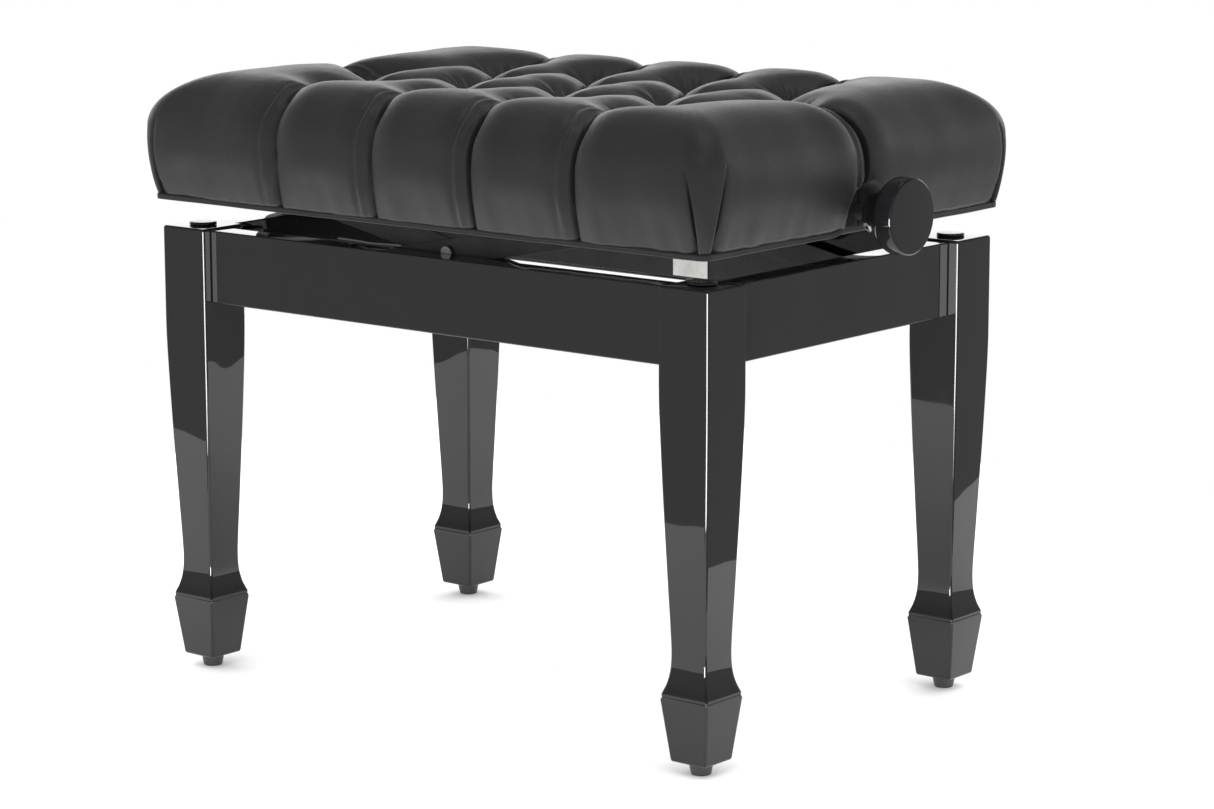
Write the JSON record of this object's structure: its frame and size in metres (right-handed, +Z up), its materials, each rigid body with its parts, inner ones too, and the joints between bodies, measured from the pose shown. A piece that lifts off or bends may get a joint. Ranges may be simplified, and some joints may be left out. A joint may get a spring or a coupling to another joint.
{
  "type": "adjustable piano bench",
  "caption": "Height-adjustable piano bench: tufted leather seat on a screw-driven scissor lift, square tapered legs with flared feet, aprons and side knobs.",
  "frame": {"origin": "on the floor, under the middle of the bench", "axes": "+X along the long side and the spindle, towards the right knob; -Y is the front; +Z up"},
  "size_m": [0.654, 0.395, 0.488],
  "materials": {
    "black_lacquer": "high gloss black lacquer",
    "leather": "soft sheen, fine grain",
    "plywood": "dark stain, matt",
    "inner_wood": "dark stain, matt",
    "black_steel": "semi-gloss black",
    "zinc_steel": "zinc plated",
    "knob_plastic": "gloss black",
    "bumper_rubber": "smooth",
    "glide_plastic": "matt dark grey",
    "bush_nylon": "moulded black nylon",
    "label": "plain white plate"
  },
  "bodies": {
    "bench": {"leg_front_left": "black_lacquer", "glide_front_left": "glide_plastic", "bumper_front_left": "bumper_rubber", "corner_block_front_left": "inner_wood", "leg_bolt_front_left": "zinc_steel", "leg_front_right": "black_lacquer", "glide_front_right": "glide_plastic", "bumper_front_right": "bumper_rubber", "corner_block_front_right": "inner_wood", "leg_bolt_front_right": "zinc_steel", "leg_back_left": "black_lacquer", "glide_back_left": "glide_plastic", "bumper_back_left": "bumper_rubber", "corner_block_back_left": "inner_wood", "leg_bolt_back_left": "zinc_steel", "leg_back_right": "black_lacquer", "glide_back_right": "glide_plastic", "bumper_back_right": "bumper_rubber", "corner_block_back_right": "inner_wood", "leg_bolt_back_right": "zinc_steel", "apron_front": "black_lacquer", "apron_back": "black_lacquer", "apron_left": "black_lacquer", "apron_right": "black_lacquer", "lower_rail_front": "black_steel", "lower_pivot_bolt_front": "black_steel", "lower_rail_back": "black_steel", "lower_pivot_bolt_back": "black_steel", "blank_label": "label"},
    "seat": {"seat_rail_front": "inner_wood", "seat_rail_back": "inner_wood", "seat_rail_left": "inner_wood", "seat_rail_right": "inner_wood", "seat_deck": "plywood", "seat_cushion": "leather", "border_front": "leather", "border_back": "leather", "border_left": "leather", "border_right": "leather", "welt_front": "leather", "upper_rail_front": "black_steel", "upper_rivet_front": "zinc_steel", "welt_back": "leather", "upper_rail_back": "black_steel", "upper_rivet_back": "zinc_steel", "spindle_bush_left": "bush_nylon", "spindle_bush_right": "bush_nylon"},
    "spindle": {"spindle": "black_steel", "spindle_collar_left": "black_steel", "knob_left": "knob_plastic", "spindle_collar_right": "black_steel", "knob_right": "knob_plastic"},
    "standing_links": {"standing_link_front": "black_steel", "centre_rivet_front": "zinc_steel", "standing_link_back": "black_steel", "centre_rivet_back": "zinc_steel"},
    "hanging_links": {"hanging_link_front": "black_steel", "hanging_link_back": "black_steel", "lower_crossbar": "black_steel"},
    "nut": {"nut_bar": "zinc_steel"}
  },
  "joints": [
    {"name": "seat_lift", "type": "slide", "parent": "bench", "child": "seat", "axis": [0, 0, 1], "range_m": [-0.014, 0.086]},
    {"name": "spindle_turn", "type": "hinge", "parent": "seat", "child": "spindle", "pos_m": [0, 0, 0.403], "axis": [1, 0, 0], "range_deg": [-255, 1550]},
    {"name": "standing_swing", "type": "hinge", "parent": "bench", "child": "standing_links", "pos_m": [-0.196, 0, 0.325], "axis": [0, -1, 0], "range_deg": [-2.2, 13]},
    {"name": "hanging_swing", "type": "hinge", "parent": "seat", "child": "hanging_links", "pos_m": [-0.196, 0, 0.403], "axis": [0, 1, 0], "range_deg": [-2.2, 13]},
    {"name": "nut_swing", "type": "hinge", "parent": "standing_links", "child": "nut", "pos_m": [0.19632, 0, 0.403], "axis": [0, 1, 0], "range_deg": [-2.2, 13]}
  ],
  "couplings": [
    {"joint": "spindle_turn", "follows": "seat_lift", "rad_per_m": 314.16},
    {"joint": "standing_swing", "follows": "seat_lift", "rad_per_m": 2.615},
    {"joint": "hanging_swing", "follows": "seat_lift", "rad_per_m": 2.615},
    {"joint": "nut_swing", "follows": "seat_lift", "rad_per_m": 2.615}
  ]
}
